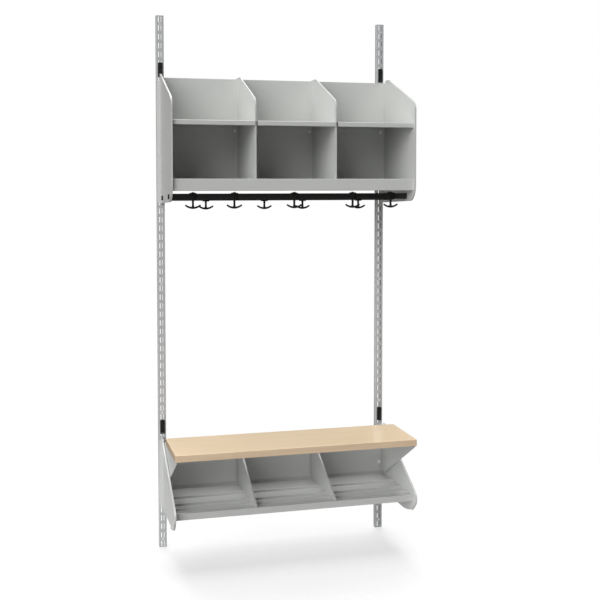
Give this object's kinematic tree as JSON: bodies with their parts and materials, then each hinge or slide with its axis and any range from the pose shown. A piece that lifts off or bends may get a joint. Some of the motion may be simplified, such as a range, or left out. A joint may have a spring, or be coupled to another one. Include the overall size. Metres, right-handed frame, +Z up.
{
  "type": "mudroom locker unit",
  "caption": "Wall-hung hallway unit on slotted uprights: open cubby shelf with sliding double coat hooks below, a bench seat and a ribbed shoe shelf.",
  "frame": {"origin": "on the wall plane, midway between the two uprights, level with their bottom ends", "axes": "+Z up along the uprights, +X to the right as seen from the room, -Y out of the wall towards the room"},
  "size_m": [0.8941, 0.382, 1.98],
  "materials": {
    "silver_rail": "satin silver",
    "grey_sheet": "satin silver-grey powder coat",
    "black_rail": "satin black",
    "black_plastic": "fine-textured black",
    "screw_steel": "zinc-plated",
    "seat_laminate": "pale maple laminate on board, glossy"
  },
  "bodies": {
    "unit": {"left_upright": "silver_rail", "right_upright": "silver_rail", "left_side_panel": "grey_sheet", "right_side_panel": "grey_sheet", "back_panel": "grey_sheet", "left_divider": "grey_sheet", "right_divider": "grey_sheet", "left_middle_shelf": "grey_sheet", "middle_middle_shelf": "grey_sheet", "right_middle_shelf": "grey_sheet", "bottom_shelf": "grey_sheet", "left_seat_bracket": "grey_sheet", "right_seat_bracket": "grey_sheet", "left_shoe_side": "grey_sheet", "right_shoe_side": "grey_sheet", "shoe_back_panel": "grey_sheet", "shoe_shelf": "grey_sheet", "left_shoe_divider": "grey_sheet", "right_shoe_divider": "grey_sheet", "front_hook_rail": "black_rail", "rear_hook_rail": "black_rail", "front_rail_cap_left": "black_plastic", "front_rail_cap_right": "black_plastic", "rear_rail_cap_left": "black_plastic", "rear_rail_cap_right": "black_plastic", "left_wall_screw_1": "screw_steel", "left_wall_screw_2": "screw_steel", "left_wall_screw_3": "screw_steel", "left_wall_screw_4": "screw_steel", "left_wall_screw_5": "screw_steel", "right_wall_screw_1": "screw_steel", "right_wall_screw_2": "screw_steel", "right_wall_screw_3": "screw_steel", "right_wall_screw_4": "screw_steel", "right_wall_screw_5": "screw_steel", "back_panel_screw_1": "screw_steel", "back_panel_screw_2": "screw_steel", "back_panel_screw_3": "screw_steel", "back_panel_screw_4": "screw_steel", "shoe_back_screw_1": "screw_steel", "shoe_back_screw_2": "screw_steel", "seat_screw_left_rear": "screw_steel", "seat_screw_left_front": "screw_steel", "seat_screw_right_rear": "screw_steel", "seat_screw_right_front": "screw_steel", "seat_board": "seat_laminate"},
    "front_hook_1": {"front_hook_1": "black_plastic"},
    "front_hook_2": {"front_hook_2": "black_plastic"},
    "front_hook_3": {"front_hook_3": "black_plastic"},
    "front_hook_4": {"front_hook_4": "black_plastic"},
    "front_hook_5": {"front_hook_5": "black_plastic"},
    "rear_hook_1": {"rear_hook_1": "black_plastic"},
    "rear_hook_2": {"rear_hook_2": "black_plastic"},
    "rear_hook_3": {"rear_hook_3": "black_plastic"},
    "rear_hook_4": {"rear_hook_4": "black_plastic"},
    "upper_left_plug": {"upper_left_plug": "black_plastic"},
    "upper_right_plug": {"upper_right_plug": "black_plastic"},
    "lower_left_plug": {"lower_left_plug": "black_plastic"},
    "lower_right_plug": {"lower_right_plug": "black_plastic"}
  },
  "joints": [
    {"name": "front_hook_1_slide", "type": "slide", "parent": "unit", "child": "front_hook_1", "axis": [1, 0, 0], "range_m": [-0.04, 0.04]},
    {"name": "front_hook_2_slide", "type": "slide", "parent": "unit", "child": "front_hook_2", "axis": [1, 0, 0], "range_m": [-0.04, 0.04]},
    {"name": "front_hook_3_slide", "type": "slide", "parent": "unit", "child": "front_hook_3", "axis": [1, 0, 0], "range_m": [-0.04, 0.04]},
    {"name": "front_hook_4_slide", "type": "slide", "parent": "unit", "child": "front_hook_4", "axis": [1, 0, 0], "range_m": [-0.04, 0.04]},
    {"name": "front_hook_5_slide", "type": "slide", "parent": "unit", "child": "front_hook_5", "axis": [1, 0, 0], "range_m": [-0.04, 0.03]},
    {"name": "rear_hook_1_slide", "type": "slide", "parent": "unit", "child": "rear_hook_1", "axis": [1, 0, 0], "range_m": [-0.04, 0.04]},
    {"name": "rear_hook_2_slide", "type": "slide", "parent": "unit", "child": "rear_hook_2", "axis": [1, 0, 0], "range_m": [-0.04, 0.04]},
    {"name": "rear_hook_3_slide", "type": "slide", "parent": "unit", "child": "rear_hook_3", "axis": [1, 0, 0], "range_m": [-0.04, 0.04]},
    {"name": "rear_hook_4_slide", "type": "slide", "parent": "unit", "child": "rear_hook_4", "axis": [1, 0, 0], "range_m": [-0.04, 0.04]},
    {"name": "upper_left_plug_pull", "type": "slide", "parent": "unit", "child": "upper_left_plug", "axis": [0, -1, 0], "range_m": [0, 0.014]},
    {"name": "upper_right_plug_pull", "type": "slide", "parent": "unit", "child": "upper_right_plug", "axis": [0, -1, 0], "range_m": [0, 0.014]},
    {"name": "lower_left_plug_pull", "type": "slide", "parent": "unit", "child": "lower_left_plug", "axis": [0, -1, 0], "range_m": [0, 0.014]},
    {"name": "lower_right_plug_pull", "type": "slide", "parent": "unit", "child": "lower_right_plug", "axis": [0, -1, 0], "range_m": [0, 0.014]}
  ]
}
